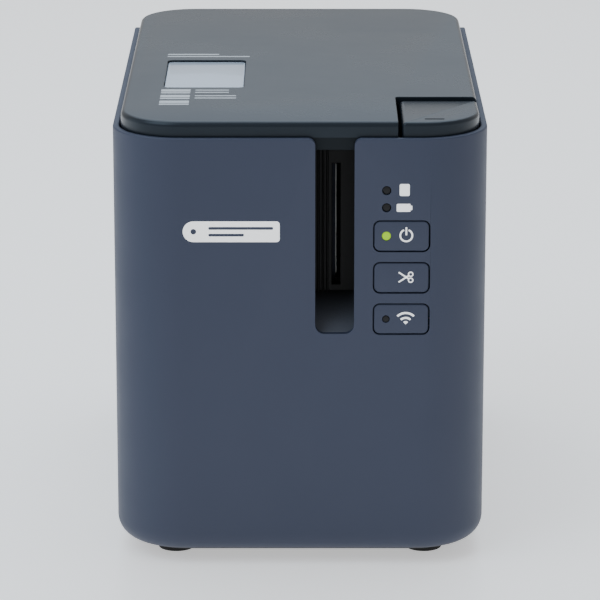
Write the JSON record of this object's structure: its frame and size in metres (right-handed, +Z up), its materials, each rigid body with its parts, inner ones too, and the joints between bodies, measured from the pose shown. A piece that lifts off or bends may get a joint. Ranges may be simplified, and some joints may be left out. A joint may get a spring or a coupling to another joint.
{
  "type": "label maker",
  "caption": "Upright desktop label printer: slate housing with a tall label slot and front buttons, a rear-hinged lid with a window, and a tape cassette, feed train and cutter inside.",
  "frame": {"origin": "bottom centre of the whole printer, on the surface it stands on", "axes": "+Z up, the front with the slot faces -Y, +Y along the depth, +X to the viewer's right"},
  "size_m": [0.1192, 0.192, 0.146],
  "materials": {
    "housing_plastic": "fine matt texture, slate grey",
    "lid_plastic": "satin, grey",
    "dark_plastic": "matt, charcoal",
    "black_plastic": "satin black",
    "natural_plastic": "moulded, dark grey",
    "gear_plastic": "acetal, off-white",
    "foot_rubber": "matt black",
    "roller_rubber": "ground black rubber",
    "steel": "zinc plated",
    "blade_steel": "ground",
    "brass": "turned",
    "aluminium": "extruded",
    "head_ceramic": "glazed substrate",
    "board": "solder resist",
    "cassette_plastic": "black polystyrene",
    "label_paper": "smooth",
    "ribbon_film": "glossy film",
    "window_clear": "clear, smoke tinted",
    "lens_green": "lit yellow-green",
    "lens_dark": "unlit, smoked"
  },
  "bodies": {
    "housing": {"main_housing": "housing_plastic", "rear_cover": "dark_plastic", "base_plate": "dark_plastic", "terminal_cover": "dark_plastic", "feet": "foot_rubber", "base_screws": "steel", "rear_screws": "steel", "status_lenses": "lens_dark", "panel_board": "board", "tact_switches": "dark_plastic", "chassis": "natural_plastic", "hinge_brackets": "natural_plastic", "deck_cover": "dark_plastic", "exit_chute": "black_plastic", "cassette_case_lower": "cassette_plastic", "cassette_case_upper": "cassette_plastic", "cassette_label": "label_paper", "tape_roll": "label_paper", "ribbon_spool": "ribbon_film", "label_tape": "label_paper", "head_heat_sink": "aluminium", "print_head": "head_ceramic", "gear_plate": "steel", "feed_motor": "steel", "cutter_frame": "steel", "fixed_blade": "blade_steel", "cutter_motor": "steel", "main_board": "board", "wireless_module": "board", "dc_jack": "dark_plastic", "usb_ports": "steel", "lan_port": "steel", "serial_port": "dark_plastic", "release_spring": "steel"},
    "lid": {"top_cover": "lid_plastic", "cover_window": "window_clear", "cover_catch": "dark_plastic", "hinge_pins": "steel"},
    "release": {"release_button": "lid_plastic"},
    "latch": {"latch_slider": "natural_plastic"},
    "power_key": {"power_button": "housing_plastic", "power_lens": "lens_green"},
    "cut_key": {"cut_button": "housing_plastic"},
    "wifi_key": {"wifi_button": "housing_plastic", "wifi_lens": "lens_dark"},
    "roller_carrier": {"roller_holder": "natural_plastic"},
    "platen": {"platen_roller": "roller_rubber", "platen_gear": "gear_plastic"},
    "pinch": {"pinch_roller": "roller_rubber"},
    "idler": {"idler_gear": "gear_plastic"},
    "ribbon_drive": {"ribbon_gear": "gear_plastic", "take_up_spool": "ribbon_film"},
    "motor_shaft": {"motor_pinion": "brass"},
    "blade": {"moving_blade": "blade_steel"},
    "cam": {"cutter_cam_gear": "natural_plastic"},
    "cutter_drive": {"cutter_pinion": "brass"}
  },
  "joints": [
    {"name": "lid_hinge", "type": "hinge", "parent": "housing", "child": "lid", "pos_m": [0, 0.087, 0.138], "axis": [-1, 0, 0], "range_deg": [0, 90]},
    {"name": "release_press", "type": "slide", "parent": "housing", "child": "release", "axis": [0, 0, -1], "range_m": [0, 0.002], "stiffness_N_per_m": 600, "deforming": ["release_spring"]},
    {"name": "latch_slide", "type": "slide", "parent": "housing", "child": "latch", "axis": [0, 1, 0], "range_m": [-0.0001, 0.0021]},
    {"name": "power_press", "type": "slide", "parent": "housing", "child": "power_key", "axis": [0, 1, 0], "range_m": [0, 0.0008], "stiffness_N_per_m": 500},
    {"name": "cut_press", "type": "slide", "parent": "housing", "child": "cut_key", "axis": [0, 1, 0], "range_m": [0, 0.0008], "stiffness_N_per_m": 500},
    {"name": "wifi_press", "type": "slide", "parent": "housing", "child": "wifi_key", "axis": [0, 1, 0], "range_m": [0, 0.0008], "stiffness_N_per_m": 500},
    {"name": "roller_swing", "type": "hinge", "parent": "housing", "child": "roller_carrier", "pos_m": [0.026, -0.012, 0.1], "axis": [0, 0, 1], "range_deg": [-0.05, 4.05]},
    {"name": "idler_spin", "type": "hinge", "parent": "housing", "child": "idler", "pos_m": [0.00045, -0.042, 0.0745], "axis": [0, 0, 1], "continuous": true},
    {"name": "platen_spin", "type": "hinge", "parent": "roller_carrier", "child": "platen", "pos_m": [0.0167, -0.042, 0.1], "axis": [0, 0, 1], "continuous": true},
    {"name": "pinch_spin", "type": "hinge", "parent": "roller_carrier", "child": "pinch", "pos_m": [0.0159, -0.0525, 0.1], "axis": [0, 0, 1], "continuous": true},
    {"name": "ribbon_spin", "type": "hinge", "parent": "housing", "child": "ribbon_drive", "pos_m": [-0.01538, -0.03624, 0.1], "axis": [0, 0, 1], "continuous": true},
    {"name": "motor_spin", "type": "hinge", "parent": "housing", "child": "motor_shaft", "pos_m": [0.00045, -0.02695, 0.0745], "axis": [0, 0, 1], "continuous": true},
    {"name": "cam_turn", "type": "hinge", "parent": "housing", "child": "cam", "pos_m": [0.03095, -0.074, 0.072], "axis": [0, 1, 0], "range_deg": [0, 60]},
    {"name": "blade_swing", "type": "hinge", "parent": "housing", "child": "blade", "pos_m": [0.01295, -0.071, 0.081], "axis": [0, 1, 0], "range_deg": [-18.2, 0.2]},
    {"name": "cutter_motor_spin", "type": "hinge", "parent": "housing", "child": "cutter_drive", "pos_m": [0.04509, -0.074, 0.06685], "axis": [0, 1, 0], "range_deg": [-156, 2]}
  ],
  "couplings": [
    {"joint": "latch_slide", "follows": "release_press", "ratio": 1},
    {"joint": "roller_swing", "follows": "lid_hinge", "ratio": 0.044444},
    {"joint": "platen_spin", "follows": "idler_spin", "ratio": -2},
    {"joint": "pinch_spin", "follows": "idler_spin", "ratio": -2.5},
    {"joint": "ribbon_spin", "follows": "idler_spin", "ratio": -1.8},
    {"joint": "motor_spin", "follows": "idler_spin", "ratio": -2.5714},
    {"joint": "blade_swing", "follows": "cam_turn", "ratio": -0.3},
    {"joint": "cutter_motor_spin", "follows": "cam_turn", "ratio": -2.5714}
  ]
}
